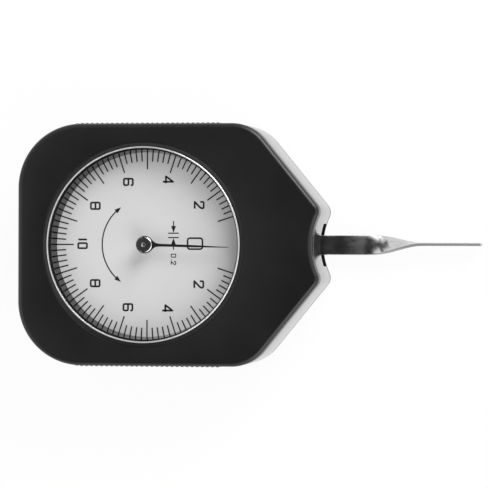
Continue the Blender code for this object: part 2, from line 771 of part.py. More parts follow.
def build():
    for old in list(bpy.data.objects):
        bpy.data.objects.remove(old)

    moulding = surface("black_moulding", (0.018, 0.018, 0.018), 0, 0.45)
    polished = surface("polished_steel", (0.78, 0.78, 0.78), 1, 0.12)
    steel = surface("steel", (0.6, 0.6, 0.61), 1, 0.25)
    dark = surface("blackened_steel", (0.02, 0.02, 0.02), 0.6, 0.4)
    brass = surface("brass", (0.72, 0.55, 0.27), 1, 0.3)
    blue = surface("blued_spring", (0.12, 0.17, 0.35), 1, 0.25)
    white = surface("dial_white", (0.72, 0.72, 0.71), 0, 0.5)
    clear = surface("crystal", (0.95, 0.95, 0.95), 0, 0.05)
    rubber = surface("gasket_rubber", (0.02, 0.02, 0.02), 0, 0.7)

    lever_axis = bpy.data.objects.new("lever_axis", None)
    pointer_axis = bpy.data.objects.new("pointer_axis", None)
    for axis in (lever_axis, pointer_axis):
        bpy.context.collection.objects.link(axis)
    lever_axis.location = (lever_x, 0, 0)

    finish("front_cover", front_cover(), moulding)
    finish("side_frame", side_frame(), polished)
    finish("rear_cover", rear_cover(), moulding)
    screw = cover_screw()
    for i, place in enumerate(post_places()):
        finish(f"cover_screw_{i + 1}", screw, steel, place=place)
    finish("bezel_ring", bezel_ring(), polished)
    finish("crystal", rod("crystal", crystal_radius, crystal_low, crystal_high, large_sides), clear)
    finish("crystal_gasket", ring("crystal_gasket", crystal_radius - gasket_width, crystal_radius, gasket_low,
                                  gasket_high, large_sides), rubber)

    finish("dial_plate", dial_plate(), white)
    finish("main_plate", main_plate(), brass)
    finish("rear_bridge", rear_bridge(), brass)
    pillar = bridge_pillar()
    bridge_screw = small_screw("bridge_screw", bridge_low, 1, bridge_screw_length - seat)
    for i, place in enumerate(pillar_places()):
        finish(f"bridge_pillar_{i + 1}", pillar, brass, place=place)
        finish(f"bridge_screw_{i + 1}", bridge_screw, steel, place=place)
    movement_screw = small_screw("movement_screw", plate_high + seat + small_screw_head_height, -1,
                                 movement_screw_length)
    for i, place in enumerate(movement_screw_places()):
        finish(f"movement_screw_{i + 1}", movement_screw, steel, place=place)
    for name, pivot, low, high, x in (
            ("pointer_bush_front", pointer_neck_radius, plate_low, plate_high, 0),
            ("pointer_bush_rear", pointer_pivot_radius, bridge_low, bridge_high, 0),
            ("lever_bush_front", lever_pivot_radius, plate_low, plate_high, lever_x),
            ("lever_bush_rear", lever_pivot_radius, bridge_low, bridge_high, lever_x)):
        finish(name, ring(name, bore(pivot), bush_radius(pivot), low, high), brass, place=(x, 0))
    stop_pin = rod("stop_pin", stop_pin_radius, arm_low, plate_high - seat, small_sides)
    for i, place in enumerate(stop_pin_places()):
        finish(f"stop_pin_{i + 1}", stop_pin, steel, place=place)

    spring_low = measuring_collet_low + (measuring_collet_height - measuring_spring_height) / 2
    spring_high = spring_low + measuring_spring_height
    start = measuring_collet_radius + seat + measuring_spring_leaf / 2
    spring = spiral("measuring_spring", start, measuring_spring_radius, measuring_spring_turns,
                    measuring_spring_leaf, spring_low, spring_high, pi / 2)
    finish("measuring_spring", spring, blue, place=(lever_x, 0))
    stud_x, stud_y = stud_place(measuring_spring_radius, pi / 2)
    stud = rod("measuring_spring_stud", stud_radius, spring_low, plate_high - seat, small_sides)
    finish("measuring_spring_stud", stud, brass, place=(lever_x + stud_x, stud_y))
    hair_collet_low = bridge_high + 2 * seat
    hair_collet_high = hair_collet_low + hair_collet_height
    hair_low = hair_collet_low + (hair_collet_height - hairspring_height) / 2
    hair_high = hair_low + hairspring_height
    start = hair_collet_radius + seat + hairspring_leaf / 2
    spring = spiral("hairspring", start, hairspring_radius, hairspring_turns, hairspring_leaf, hair_low,
                    hair_high, pi)
    finish("hairspring", spring, blue)
    stud = rod("hairspring_stud", stud_radius, bridge_high + seat, hair_high, small_sides)
    finish("hairspring_stud", stud, brass, place=stud_place(hairspring_radius, pi))

    arbor = stepped_arbor("lever_arbor", lever_arbor_radius, lever_pivot_radius, lever_pivot_radius,
                          bridge_low + seat, plate_high - seat)
    finish("lever_arbor", arbor, steel, lever_axis)
    finish("lever_arm", lever_arm(), brass, lever_axis)
    finish("sector_gear", sector_gear(), brass, lever_axis)
    finish("feeler", feeler(), steel, lever_axis)
    feeler_screw = small_screw("feeler_screw", feeler_low - seat - small_screw_head_height, 1,
                               feeler_thickness + arm_thickness)
    for i, place in enumerate(feeler_screw_places()):
        finish(f"feeler_screw_{i + 1}", feeler_screw, steel, lever_axis, place)
    collet = ring("measuring_spring_collet", bore(lever_arbor_radius), measuring_collet_radius,
                  measuring_collet_low, measuring_collet_high)
    finish("measuring_spring_collet", collet, brass, lever_axis)

    arbor = stepped_arbor("pointer_arbor", pointer_arbor_radius, pointer_pivot_radius, pointer_neck_radius,
                          bridge_low + seat, boss_high)
    finish("pointer_arbor", arbor, steel, pointer_axis)
    pinion_low = (sector_low + sector_high - pinion_height) / 2
    hole = circle(bore(pointer_arbor_radius, small_sides), sides=small_sides)
    pinion = plate("pinion", pinion_outline(), pinion_low, pinion_low + pinion_height, [hole])
    finish("pinion", pinion, steel, pointer_axis)
    collet = ring("hairspring_collet", bore(pointer_arbor_radius), hair_collet_radius, hair_collet_low,
                  hair_collet_high)
    finish("hairspring_collet", collet, brass, pointer_axis)
    finish("pointer", pointer(), dark, pointer_axis)
    finish("pointer_boss", pointer_boss(), polished, pointer_axis)
    finish("pointer_cap", pointer_cap(), dark, pointer_axis)


build()
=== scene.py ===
from math import asin, cos, pi, radians, sin, sqrt

import bmesh
import bpy
import numpy as np
from mathutils import Matrix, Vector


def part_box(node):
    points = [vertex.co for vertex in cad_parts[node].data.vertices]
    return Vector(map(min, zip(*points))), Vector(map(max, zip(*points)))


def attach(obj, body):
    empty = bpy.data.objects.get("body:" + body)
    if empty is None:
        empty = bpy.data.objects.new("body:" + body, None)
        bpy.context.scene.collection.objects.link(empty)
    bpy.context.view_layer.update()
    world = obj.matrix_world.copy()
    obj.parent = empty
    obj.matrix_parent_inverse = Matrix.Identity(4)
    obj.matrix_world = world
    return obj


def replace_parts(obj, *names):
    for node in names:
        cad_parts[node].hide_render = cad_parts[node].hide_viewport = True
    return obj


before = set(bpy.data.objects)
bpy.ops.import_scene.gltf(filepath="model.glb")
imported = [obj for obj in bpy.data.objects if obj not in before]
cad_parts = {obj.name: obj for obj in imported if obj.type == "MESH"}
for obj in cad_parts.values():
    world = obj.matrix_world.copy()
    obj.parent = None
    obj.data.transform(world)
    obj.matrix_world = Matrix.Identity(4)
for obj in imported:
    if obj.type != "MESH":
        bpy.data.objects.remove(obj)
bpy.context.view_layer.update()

mm = 0.001


# Camera, table and lights
# The gauge lies on a pale table and is seen from a little towards its feeler. The table is clear
# from below. The walls of the room are white, the ceiling is dark, and soft lamps stand round it.

camera_reach = 760 * mm
camera_lean = radians(9.4)
camera_roll = radians(0.15)
aim = (26.05 * mm, 0.24 * mm, 18.9 * mm)
lens_mm = 212.34
film_mm = 36
ambient = 0.4
table_drop = 0.05 * mm
table_grey = 0.92
white_share = 0.93
soot_grey = 0.004


class Shade:
    """One output of a shader node. Sums and products with it add Math nodes to its tree."""

    def __init__(self, tree, socket=None):
        self.tree = tree
        self.socket = socket

    def node(self, kind, settings, sockets, output=0):
        """Add a node, set its settings, then give its sockets their values or links."""
        made = self.tree.nodes.new("ShaderNode" + kind)
        for name, value in settings.items():
            setattr(made, name, value)
        for name, value in sockets.items():
            if isinstance(value, Shade):
                self.tree.links.new(value.socket, made.inputs[name])
            else:
                made.inputs[name].default_value = value
        return Shade(self.tree, made.outputs[output])

    def maths(self, operation, first, second=0.0):
        return self.node("Math", {"operation": operation}, {0: first, 1: second})

    def __add__(self, other):
        return self.maths("ADD", self, other)

    def __sub__(self, other):
        return self.maths("SUBTRACT", self, other)

    def __rsub__(self, other):
        return self.maths("SUBTRACT", other, self)

    def __mul__(self, other):
        return self.maths("MULTIPLY", self, other)

    def __pow__(self, other):
        return self.maths("POWER", self, other)

    def __lt__(self, other):
        return self.maths("LESS_THAN", self, other)

    def least(self, other):
        return self.maths("MINIMUM", self, other)

    def part(self, axis):
        """One coordinate of a place."""
        return self.node("SeparateXYZ", {}, {0: self}, axis)

    def radius(self):
        """Distance of a place from the Z axis."""
        return self.node("VectorMath", {"operation": "LENGTH"}, {0: self.stretched(1, 1, 0)}, "Value")

    def ramp(self, low, high):
        """Its way from low to high, as a share that stays between 0 and 1."""
        return self.node("MapRange", {}, {"Value": self, "From Min": low, "From Max": high})

    def stretched(self, x, y, z):
        """A place with each coordinate multiplied by a number."""
        return self.node("VectorMath", {"operation": "MULTIPLY"}, {0: self, 1: (x, y, z)})

    def noise(self, size, detail=2.0):
        """Noise from 0 to 1 whose grains are about this size."""
        return self.node("TexNoise", {}, {"Vector": self, "Scale": 1 / size, "Detail": detail})

    def mix(self, low, high):
        """A colour between two, by this share."""
        return self.node("Mix", {"data_type": "RGBA"}, {"Factor": self, "A": low, "B": high}, "Result")

    def bump(self, height):
        """Normals of a surface raised by up to this height where the pattern is 1."""
        return self.node("Bump", {}, {"Strength": 1.0, "Distance": height, "Height": self}, "Normal")


def seen(tree):
    """1 for rays from the camera, from a mirror or through glass, and 0 for rays that carry light."""
    path = tree.nodes.new("ShaderNodeLightPath")
    straight, mirrored, through = (Shade(tree, path.outputs[f"Is {kind} Ray"])
                                   for kind in ("Camera", "Glossy", "Transmission"))
    return (straight + mirrored + through).least(1.0)


def look_matrix(place, right, up):
    """Matrix of a thing at a place whose own X and Y are right and up; it looks along -Z."""
    columns = np.eye(4)
    columns[:3, 0] = right
    columns[:3, 1] = up
    columns[:3, 2] = np.cross(right, up)
    columns[:3, 3] = place
    return Matrix(columns.tolist())


scene = bpy.context.scene
scene.view_settings.view_transform = "Standard"
lens = bpy.data.cameras.new("camera")
lens.lens = lens_mm
lens.sensor_width = film_mm
lens.clip_start = 10 * mm
camera = bpy.data.objects.new("camera", lens)
scene.collection.objects.link(camera)
scene.camera = camera
level = np.array((cos(camera_lean), 0, -sin(camera_lean)))
towards = np.array((sin(camera_lean), 0, cos(camera_lean)))
upward = np.array((0, 1, 0))
camera.matrix_world = look_matrix(np.array(aim) + camera_reach * towards,
                                  cos(camera_roll) * level + sin(camera_roll) * upward,
                                  cos(camera_roll) * upward - sin(camera_roll) * level)

world = bpy.data.worlds.new("room")
scene.world = world
world.use_nodes = True
walls = world.node_tree.nodes["Background"]
walls.inputs["Color"].default_value = (1, 1, 1, 1)
strength = seen(world.node_tree) * (1 - ambient) + ambient
world.node_tree.links.new(strength.socket, walls.inputs["Strength"])


def flat_panel(name, width, depth):
    """A rectangle in the plane Z = 0 round the origin."""
    mesh = bpy.data.meshes.new(name)
    corners = [(x * width / 2, y * depth / 2, 0) for x, y in ((-1, -1), (1, -1), (1, 1), (-1, 1))]
    mesh.from_pydata(corners, [], [(0, 1, 2, 3)])
    made = bpy.data.objects.new(name, mesh)
    scene.collection.objects.link(made)
    return made


table = flat_panel("table", 6.0, 6.0)
table.location.z = -table_drop
cloth = bpy.data.materials.new("white_table")
cloth.use_nodes = True
tree = cloth.node_tree
lit = tree.nodes["Principled BSDF"]
lit.inputs["Base Color"].default_value = (table_grey, table_grey, table_grey, 1)
lit.inputs["Roughness"].default_value = 0.9
lit.inputs["Specular IOR Level"].default_value = 0.0
white = tree.nodes.new("ShaderNodeEmission")
blend = tree.nodes.new("ShaderNodeMixShader")
tree.links.new((seen(tree) * white_share).socket, blend.inputs[0])
tree.links.new(lit.outputs[0], blend.inputs[1])
tree.links.new(white.outputs[0], blend.inputs[2])
looking = Shade(tree).node("LightPath", {}, {}, "Is Camera Ray")
from_under = Shade(tree).node("NewGeometry", {}, {}, "Backfacing") * looking
clear = Shade(tree).node("BsdfTransparent", {}, {})
sheet = clear.node("MixShader", {}, {0: from_under, 1: Shade(tree, blend.outputs[0]), 2: clear})
tree.links.new(sheet.socket, tree.nodes["Material Output"].inputs["Surface"])
table.data.materials.append(cloth)

soot = bpy.data.materials.new("soot")
soot.use_nodes = True
lit = soot.node_tree.nodes["Principled BSDF"]
lit.inputs["Base Color"].default_value = (soot_grey, soot_grey, soot_grey, 1)
lit.inputs["Roughness"].default_value = 1.0
ceiling = flat_panel("dark_ceiling", 2.4, 3.0)
ceiling.location = (-0.2, 0.0, 1.1)
screen = flat_panel("dark_screen", 0.2, 0.7)
for panel in (ceiling, screen):
    panel.data.materials.append(soot)
    panel.visible_camera = False
    panel.visible_diffuse = False
    panel.visible_transmission = False
    panel.visible_shadow = False


def face_gauge(made, place):
    """Move a lamp or panel to a place and turn it towards the gauge, with its sides level."""
    away = np.array(place) / np.linalg.norm(place)
    across = np.cross(upward, away)
    across /= np.linalg.norm(across)
    made.matrix_world = look_matrix(place, across, np.cross(away, across))


def soft_lamp(name, place, size, radiance):
    """A rectangular lamp that faces the gauge. radiance 1 is the white of the walls."""
    lamp = bpy.data.lights.new(name, "AREA")
    lamp.shape = "RECTANGLE"
    lamp.size, lamp.size_y = size
    lamp.energy = radiance * pi * size[0] * size[1]
    made = bpy.data.objects.new(name, lamp)
    scene.collection.objects.link(made)
    face_gauge(made, place)


face_gauge(screen, (-0.12, 0.86, 0.5))
soft_lamp("key_lamp", (0.42, 0.56, 0.42), (0.45, 0.45), 7.3)
soft_lamp("high_lamp", (0.217, 0.466, 0.613), (0.26, 0.36), 2.6)
soft_lamp("second_lamp", (0.45, -0.5, 0.5), (0.7, 0.7), 2.0)
soft_lamp("fill_lamp", (-0.6, -0.1, 0.75), (0.5, 0.5), 1.6)
soft_lamp("back_lamp", (-0.34, 0.4, 0.73), (0.3, 0.4), 1.3)


# Rear cover
# Black moulded shell that closes the case behind, with a softly rounded edge. Four countersunk
# steel screws go through it into the posts of the front cover, one in each rounded corner.


def painted(name, plain, paint):
    """A Principled material. plain holds what is the same all over, and paint works out the rest
    from a place on the piece."""
    made = bpy.data.materials.new(name)
    made.use_nodes = True
    surface = made.node_tree.nodes["Principled BSDF"]
    for socket, value in plain.items():
        surface.inputs[socket].default_value = value
    place = Shade(made.node_tree).node("TexCoord", {}, {}, "Object")
    for socket, value in paint(place).items():
        made.node_tree.links.new(value.socket, surface.inputs[socket])
    return made


def grey(level):
    return (level, level, level, 1)


def moulded(place):
    """Spark texture of the mould, a few thousandths of a millimetre high, over faint flow marks."""
    grain = place.noise(0.16 * mm, 3.0)
    flow = place.noise(9 * mm)
    return {"Base Color": (grain * 0.6 + flow * 0.4).mix(grey(0.006), grey(0.012)),
            "Roughness": flow * 0.08 + 0.60,
            "Normal": grain.bump(0.004 * mm)}


def turned_steel(place):
    """Bright steel with a little wear and fine scratches."""
    wear = place.noise(0.5 * mm)
    scratches = place.stretched(1, 6, 1).noise(0.15 * mm)
    return {"Base Color": wear.mix(grey(0.50), grey(0.66)),
            "Roughness": wear * 0.15 + 0.2,
            "Normal": scratches.bump(0.003 * mm)}


def dress(node, material):
    """Give a CAD node its material."""
    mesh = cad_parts[node].data
    mesh.materials.clear()
    mesh.materials.append(material)


black_moulding = painted("black_moulding", {"Specular IOR Level": 0.04}, moulded)
bright_steel = painted("bright_steel", {"Metallic": 1.0}, turned_steel)
dress("rear_cover", black_moulding)
for number in (1, 2, 3, 4):
    dress(f"cover_screw_{number}", bright_steel)


# Side frame
# Bright metal wall between the two covers, drawn through polishing rollers that leave fine level
# lines. Grip ribs run along both flanks, and the feeler comes out of the slot in the notch.

case_half_width = 32.0 * mm
case_back = 33.9 * mm
back_corner_radius = 17.0 * mm
flank_corner_radius = 11.0 * mm
slant_angle = radians(50.9)
shoulder_radius = 3.0 * mm
shoulder_half_width = 8.8 * mm
notch_radius = 18.0 * mm
notch_x = 44.8 * mm
frame_wall = 2.2 * mm
frame_rim = 0.12 * mm
slot_half_width = 5.7 * mm
slot_top = 7.3 * mm
rib_pitch = 1.36 * mm
rib_height = 0.36 * mm
rib_foot = 1.0 * mm
rib_crest = 0.5 * mm
rib_count = 29
first_rib_x = 19.3 * mm
lug_inset = 2.0 * mm
lug_half_width = 4.0 * mm
lug_thickness = 2.0 * mm
lug_hole_radius = 0.67 * mm
lug_clearance = 0.1 * mm
outline_step = 0.3 * mm
merge_distance = 0.0002 * mm


def case_edge(step):
    """Half of the case's outline from the middle of the notch to the middle of the back, its outward
    normals and the way along it.

    It runs over tangent arcs and straight lines, each cut into equal steps. A point moved against
    its normal lies on the outline at an inset, since only the arcs' radii change.
    """
    notch = np.array((notch_x + notch_radius, 0.0))
    reach = notch_radius + shoulder_radius
    shoulder = np.array((notch[0] - sqrt(reach ** 2 - shoulder_half_width ** 2), shoulder_half_width))
    spread = asin(shoulder_half_width / reach)
    slot_spread = asin(slot_half_width / notch_radius)
    outward = np.array((sin(slant_angle), cos(slant_angle)))
    along = np.array((-cos(slant_angle), sin(slant_angle)))
    start = shoulder + outward * (shoulder_radius - flank_corner_radius)
    flank = start + along * (case_half_width - flank_corner_radius - start[1]) / along[1]
    back = np.array((back_corner_radius - case_back, case_half_width - back_corner_radius))
    rise = pi / 2 - slant_angle
    arcs = [(notch, notch_radius, pi, pi - slot_spread, -1),
            (notch, notch_radius, pi - slot_spread, pi - spread, -1),
            (shoulder, shoulder_radius, -spread, rise, 1),
            (flank, flank_corner_radius, rise, pi / 2, 1),
            (back, back_corner_radius, pi / 2, pi, 1),
            (np.array((-case_back, 0.0)), 0.0, pi, pi, 1)]
    points, normals = np.array([[notch_x, 0.0]]), np.array([[1.0, 0.0]])
    for centre, radius, first, last, side in arcs:
        angle = np.linspace(first, last, int(abs(last - first) * radius / step) + 2)
        ring = np.stack((np.cos(angle), np.sin(angle)), 1)
        gap = centre + radius * ring[0] - points[-1]
        share = np.linspace(0, 1, int(np.linalg.norm(gap) / step) + 2)[1:-1, None]
        points = np.concatenate((points, points[-1] + gap * share, centre + radius * ring))
        normals = np.concatenate((normals, np.repeat(ring[:1] * side, len(share), 0), ring * side))
    length = np.linalg.norm(np.diff(points, axis=0), axis=1)
    keep = np.concatenate(([True], length > step / 100))
    travel = np.concatenate(([0.0], np.cumsum(length)))
    points, normals, travel = points[keep], normals[keep], travel[keep]
    points[-1, 1] = 0.0
    return points, normals, travel


def both_halves(half):
    """Points or normals of a half outline with their mirror images, as one closed outline."""
    return np.concatenate((half, half[-2:0:-1] * (1, -1)))


def closed_mesh(name, grids, crease):
    """A mesh of closed grids of points. Columns wrap, and rows wrap or end in two flat faces.

    Points that fall together are merged, so a row at the axis becomes a pole, and the faces are
    then turned outward.
    """
    vertices, faces, first = [], [], 0
    for points, ring in grids:
        rows, columns = points.shape[:2]
        index = first + np.arange(rows * columns).reshape(rows, columns)
        after = np.roll(index, -1, 1)
        quads = np.stack((index, after, np.roll(after, -1, 0), np.roll(index, -1, 0)), -1)
        faces += (quads if ring else quads[:-1]).reshape(-1, 4).tolist()
        if not ring:
            faces += [index[0, ::-1].tolist(), index[-1].tolist()]
        vertices.append(points.reshape(-1, 3))
        first += rows * columns
    mesh = bpy.data.meshes.new(name)
    mesh.from_pydata(np.concatenate(vertices), [], faces)
    shape = bmesh.new()
    shape.from_mesh(mesh)
    bmesh.ops.remove_doubles(shape, verts=shape.verts, dist=merge_distance)
    bmesh.ops.recalc_face_normals(shape, faces=shape.faces)
    shape.to_mesh(mesh)
    shape.free()
    mesh.shade_smooth()
    mesh.set_sharp_from_angle(angle=crease)
    return mesh


def add_piece(name, mesh, material, body):
    """Put a mesh in the scene as a piece that rides on a body."""
    made = bpy.data.objects.new(name, mesh)
    scene.collection.objects.link(made)
    mesh.materials.append(material)
    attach(made, body)
    return made


def quarter(start, end, bulge, steps):
    """Points of a quarter circle from start to end, in a plane, whose middle leans to the bulge."""
    turn = np.linspace(0, pi / 2, steps + 1)[:, None]
    start, end, bulge = np.array(start), np.array(end), np.array(bulge)
    centre = start + end - bulge
    return centre + (start - centre) * np.cos(turn) + (end - centre) * np.sin(turn)


def plate_round_hole(name, outline, centre, radius, low, high):
    """A flat plate with one round hole: each outline point is joined to the hole at its own angle."""
    away = outline - centre
    hole = centre + radius * away / np.linalg.norm(away, axis=1)[:, None]
    rings = [(outline, low), (outline, high), (hole, high), (hole, low)]
    walls = np.array([np.column_stack((ring, np.full(len(ring), z))) for ring, z in rings])
    return closed_mesh(name, [(walls, True)], radians(35))


def rolled_metal(place):
    """Polished nickel with fine level lines and a slight change of sheen along them."""
    lines = place.stretched(0.02, 0.02, 1).noise(0.07 * mm, 3.0)
    sheen = place.stretched(0.3, 0.3, 1).noise(1.2 * mm)
    return {"Base Color": sheen.mix(grey(0.34), grey(0.42)),
            "Roughness": lines * 0.10 + sheen * 0.06 + 0.10,
            "Normal": lines.bump(0.0012 * mm)}


polished_metal = painted("polished_metal", {"Metallic": 1.0}, rolled_metal)
frame_low, frame_high = (corner.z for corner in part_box("side_frame"))
edge, facing, travel = case_edge(outline_step)
nearest = np.argmin(np.linalg.norm(edge - (first_rib_x, case_half_width), axis=1))
first_rib = travel[nearest] + edge[nearest, 0] - first_rib_x
slope = np.linspace(0, 1, 7)
rise = np.concatenate((slope, slope[::-1]))
beside = (rib_foot - rise * (rib_foot - rib_crest)) / 2 * np.repeat((-1, 1), len(slope))
rib_stops = (first_rib + np.arange(rib_count)[:, None] * rib_pitch + beside).ravel()
plain = (travel < rib_stops[0]) | (travel > rib_stops[-1])
stops = np.concatenate((travel[plain], rib_stops))
order = np.argsort(stops)
rib_rise = np.tile(rise * rise * (3 - 2 * rise), rib_count)
height = rib_height * np.concatenate((np.zeros(plain.sum()), rib_rise))
edge, facing = (np.stack([np.interp(stops[order], travel, axis) for axis in half.T], 1)
                for half in (edge, facing))
ribbed = both_halves(edge + facing * height[order, None])
edge, facing = both_halves(edge), both_halves(facing)
inner = edge - facing * frame_wall
slot_end = int(np.argmin(np.abs(edge[:len(edge) // 4, 1] - slot_half_width)))
other_end = len(edge) - slot_end
doubled = np.insert(np.arange(len(edge)), [slot_end + 1, other_end], [slot_end, other_end])
floor_z = np.full(len(doubled), frame_low)
floor_z[:slot_end + 1] = slot_top
floor_z[-slot_end:] = slot_top
rows = [(ribbed, floor_z), (ribbed, np.full(len(doubled), slot_top))]
for back, z in quarter((0, frame_high - frame_rim), (frame_rim, frame_high), (0, frame_high), 4):
    rows.append((ribbed - facing * back, np.full(len(doubled), z)))
for back, z in quarter((-frame_rim, frame_high), (0, frame_high - frame_rim), (0, frame_high), 2):
    rows.append((inner - facing * back, np.full(len(doubled), z)))
rows += [(inner, np.full(len(doubled), slot_top)), (inner, floor_z)]
walls = np.array([np.column_stack((ring[doubled], z)) for ring, z in rows])
mesh = closed_mesh("frame_wall", [(walls, True)], radians(40))
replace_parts(add_piece("frame_wall", mesh, polished_metal, "case"), "side_frame")
for number, turn in ((1, pi / 2), (2, -pi / 2), (3, pi)):
    low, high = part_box(f"movement_screw_{number}")
    reach = max(abs(low.x + high.x), abs(low.y + high.y)) / 2
    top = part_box("main_plate")[0].z - lug_clearance
    outer = (case_back if number == 3 else case_half_width) - frame_wall
    ends = np.linspace(-lug_half_width, lug_half_width, 17)
    sides = np.linspace(reach - lug_inset, outer, 9)
    borders = ((outer, ends), (sides[-2::-1], lug_half_width),
               (reach - lug_inset, ends[-2::-1]), (sides[1:-1], -lug_half_width))
    lug = np.concatenate([np.column_stack(np.broadcast_arrays(*border)) for border in borders])
    turned = lug @ np.array(((cos(turn), sin(turn)), (-sin(turn), cos(turn))))
    hole = np.array((reach * cos(turn), reach * sin(turn)))
    mesh = plate_round_hole(f"frame_lug_{number}", turned, hole, lug_hole_radius, top - lug_thickness, top)
    piece = add_piece(f"frame_lug_{number}", mesh, polished_metal, "case")
    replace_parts(piece, "side_frame")


# Movement
# Brass main plate and bridge held apart by three turned pillars, with the bushes, the springs and
# their studs between them. Nothing of it shows while the case is closed.


def machined_brass(place):
    """Brass with a fine circular grain and a warm variation of colour."""
    tone = place.noise(3 * mm)
    grain = place.stretched(1, 5, 1).noise(0.2 * mm)
    return {"Base Color": tone.mix((0.60, 0.43, 0.18, 1), (0.76, 0.58, 0.30, 1)),
            "Roughness": grain * 0.12 + 0.22,
            "Normal": grain.bump(0.003 * mm)}


def heat_blued(place):
    """Spring strip tempered blue, with violet patches."""
    heat = place.noise(1.5 * mm)
    return {"Base Color": heat.mix((0.07, 0.13, 0.36, 1), (0.17, 0.14, 0.38, 1)),
            "Roughness": place.noise(0.3 * mm) * 0.1 + 0.2}


brass = painted("brass", {"Metallic": 1.0}, machined_brass)
blued_steel = painted("blued_steel", {"Metallic": 1.0}, heat_blued)
for node in ("main_plate", "rear_bridge", "bridge_pillar_1", "bridge_pillar_2", "bridge_pillar_3",
             "pointer_bush_front", "pointer_bush_rear", "lever_bush_front", "lever_bush_rear",
             "measuring_spring_stud", "hairspring_stud", "measuring_spring_collet", "hairspring_collet",
             "lever_arm", "sector_gear"):
    dress(node, brass)
for node in ("bridge_screw_1", "bridge_screw_2", "bridge_screw_3", "movement_screw_1", "movement_screw_2",
             "movement_screw_3", "stop_pin_1", "stop_pin_2", "lever_arbor", "pinion", "feeler_screw_1",
             "feeler_screw_2", "pointer_arbor"):
    dress(node, bright_steel)
for node in ("measuring_spring", "hairspring"):
    dress(node, blued_steel)


# Feeler
# Ground spring steel strip, screwed flat under the lever's arm. Beyond the case it is twisted a
# quarter turn, so that it stands on edge where its tip touches the work.

feeler_width = 5.22 * mm
feeler_thickness = 0.85 * mm
feeler_corner = 0.22 * mm
feeler_rim = 0.15 * mm
feeler_start = 31.0 * mm
feeler_tip = 87.6 * mm
feeler_z = 3.625 * mm
twist_start = 54.6 * mm
twist_length = 17.5 * mm
blade_offset = 0.24 * mm
sheared_share = 0.965
jaw_marks = (50 * mm, 55 * mm, 55.5 * mm, 57.5 * mm)


def strip_section(inset, steps):
    """Points round the strip's section at an inset: a rectangle with an arc at each corner."""
    turn = np.linspace(0, pi / 2, steps + 1)
    radius = feeler_corner - inset
    angle = np.concatenate([turn + pi / 2 * corner for corner in range(4)])
    signs = np.repeat(((1, 1), (-1, 1), (-1, -1), (1, -1)), steps + 1, axis=0)
    middle = signs * (feeler_width / 2 - feeler_corner, feeler_thickness / 2 - feeler_corner)
    return middle + radius * np.column_stack((np.cos(angle), np.sin(angle)))


def twisted_strip():
    """The strip's sections along X. Over the twist the turn eases from 0 to a quarter with a
    smooth step, and the middle plane moves over to the blade's."""
    rim = [(feeler_start + way, inset)
           for way, inset in quarter((0, feeler_rim), (feeler_rim, 0), (0, 0), 3)]
    tip = [(feeler_tip - way, inset)
           for way, inset in quarter((feeler_rim, 0), (0, feeler_rim), (0, 0), 3)]
    middle = np.concatenate((np.linspace(feeler_start, twist_start, 40)[1:-1],
                             np.linspace(twist_start, twist_start + twist_length, 121),
                             np.linspace(twist_start + twist_length, feeler_tip, 40)[1:-1]))
    stations = [(feeler_start, feeler_corner), *rim, *((x, 0) for x in middle), *tip,
                (feeler_tip, feeler_corner)]
    rows = []
    for x, inset in stations:
        share = min(max((x - twist_start) / twist_length, 0), 1)
        eased = share * share * (3 - 2 * share)
        turn = eased * pi / 2
        across, up = strip_section(inset, 4).T
        rows.append(np.column_stack((np.full(len(across), x),
                                     across * cos(turn) + up * sin(turn) + blade_offset * eased,
                                     feeler_z + up * cos(turn) - across * sin(turn))))
    return np.array(rows)


def mark_edges(mesh):
    """Store on each vertex how far it lies from the strip's middle line, as a share of half its width.
    Its place is turned back by the strip's turn at its X."""
    x, y, z = np.array([vertex.co for vertex in mesh.vertices]).T
    share = np.clip((x - twist_start) / twist_length, 0, 1)
    eased = share * share * (3 - 2 * share)
    turn = eased * pi / 2
    across = (y - blade_offset * eased) * np.cos(turn) - (z - feeler_z) * np.sin(turn)
    stored = mesh.attributes.new("across", "FLOAT", "POINT")
    stored.data.foreach_set("value", np.abs(across) / (feeler_width / 2))


def ground_steel(place):
    """Spring steel ground along its length: long fine lines and a few smudges, duller where the jaws
    gripped it for the twist. The sheared edges are matt."""
    lines = place.stretched(0.03, 1, 1).noise(0.09 * mm, 3.0)
    smudge = place.stretched(0.5, 1.6, 1.6).noise(1.6 * mm)
    along = place.part(0)
    gripped = along.ramp(*jaw_marks[:2]) * (1 - along.ramp(*jaw_marks[2:]))
    across = place.node("Attribute", {"attribute_name": "across"}, {}, "Fac")
    sheared = 1 - (across < sheared_share)
    return {"Base Color": sheared.mix(smudge.mix(grey(0.38), grey(0.76)), grey(0.42)),
            "Roughness": (lines + smudge) * 0.09 + sheared * 0.35 + gripped * 0.15 + 0.10,
            "Normal": (lines + smudge * 6).bump(0.0016 * mm)}


spring_steel = painted("spring_steel", {"Metallic": 1.0}, ground_steel)
strip_mesh = closed_mesh("feeler_strip", [(twisted_strip(), False)], radians(40))
mark_edges(strip_mesh)
strip = add_piece("feeler_strip", strip_mesh, spring_steel, "lever")
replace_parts(strip, "feeler")


# Dial plate
# Aluminium disc painted matt white, printed in black with the scale. Three feet hold it above the
# main plate.


def matt_paint(place):
    """White stove paint with a very fine orange peel."""
    peel = place.noise(0.25 * mm)
    return {"Base Color": place.noise(6 * mm).mix(grey(0.66), grey(0.70)),
            "Roughness": peel * 0.1 + 0.5,
            "Normal": peel.bump(0.002 * mm)}


dial_white = painted("dial_white", {"Specular IOR Level": 0.3}, matt_paint)
dress("dial_plate", dial_white)


# Dial print
# Black ink, printed on the dial: a scale from 0 to 10 on both sides with five parts to each unit,
# its numbers, the value of one part between two arrows, and a plain arc round the pointer's hub.

